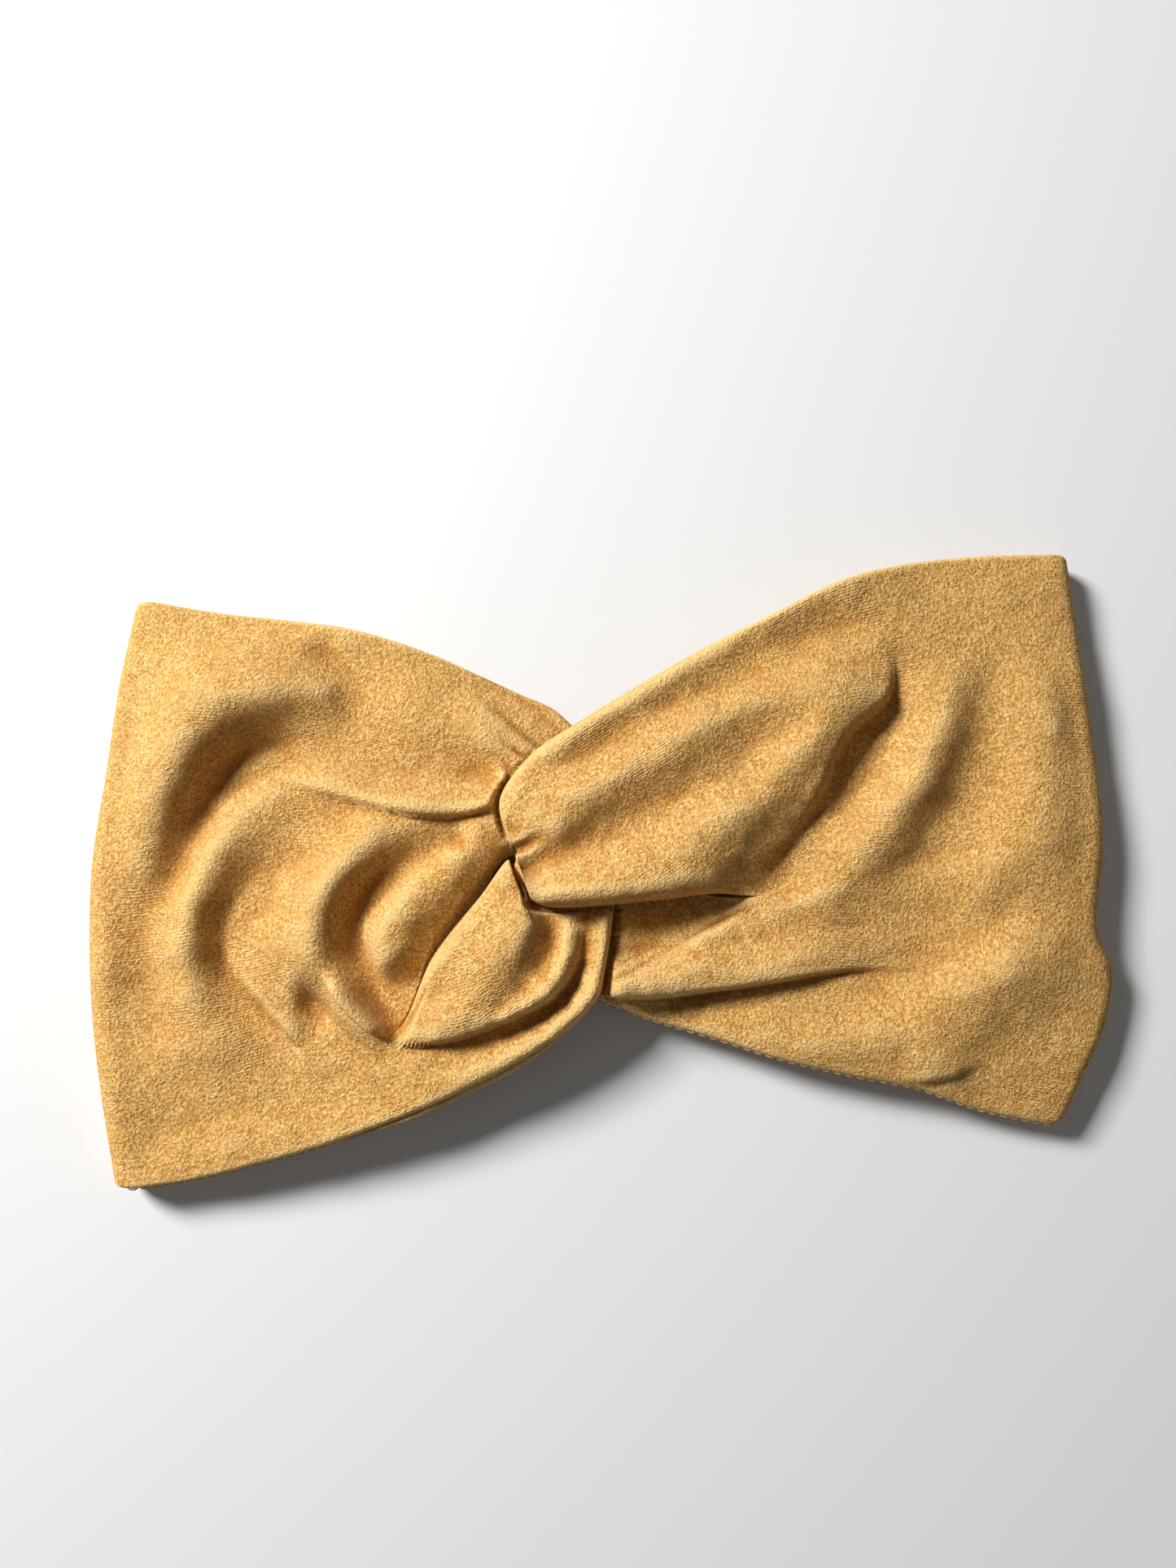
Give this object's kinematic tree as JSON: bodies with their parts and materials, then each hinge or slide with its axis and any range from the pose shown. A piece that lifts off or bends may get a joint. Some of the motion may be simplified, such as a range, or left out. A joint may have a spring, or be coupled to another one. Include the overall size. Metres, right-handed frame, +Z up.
{
  "type": "knotted headband",
  "caption": "Wide soft knit headband lying flat, two doubled bands linked in a knot at the front and sewn together at the centre back.",
  "frame": {"origin": "middle of the underside of the headband's box, on the surface that it lies on", "axes": "+X from the left side fold to the right one, +Y towards the edge that is worn higher, +Z up from the surface through the knot"},
  "size_m": [0.2361, 0.145, 0.0236],
  "materials": {
    "outer_knit": "soft brushed crepe knit, camel",
    "lining_knit": "the same knit, its smoother side",
    "sewing_thread": "spun polyester thread, matt"
  },
  "bodies": {
    "root": {"left_band_outer_ply": "outer_knit", "left_band_lining": "lining_knit", "left_band_edge_seam_thread": "sewing_thread", "right_band_outer_ply": "outer_knit", "right_band_lining": "lining_knit", "right_band_edge_seam_thread": "sewing_thread", "back_seam_thread": "sewing_thread"}
  },
  "joints": []
}
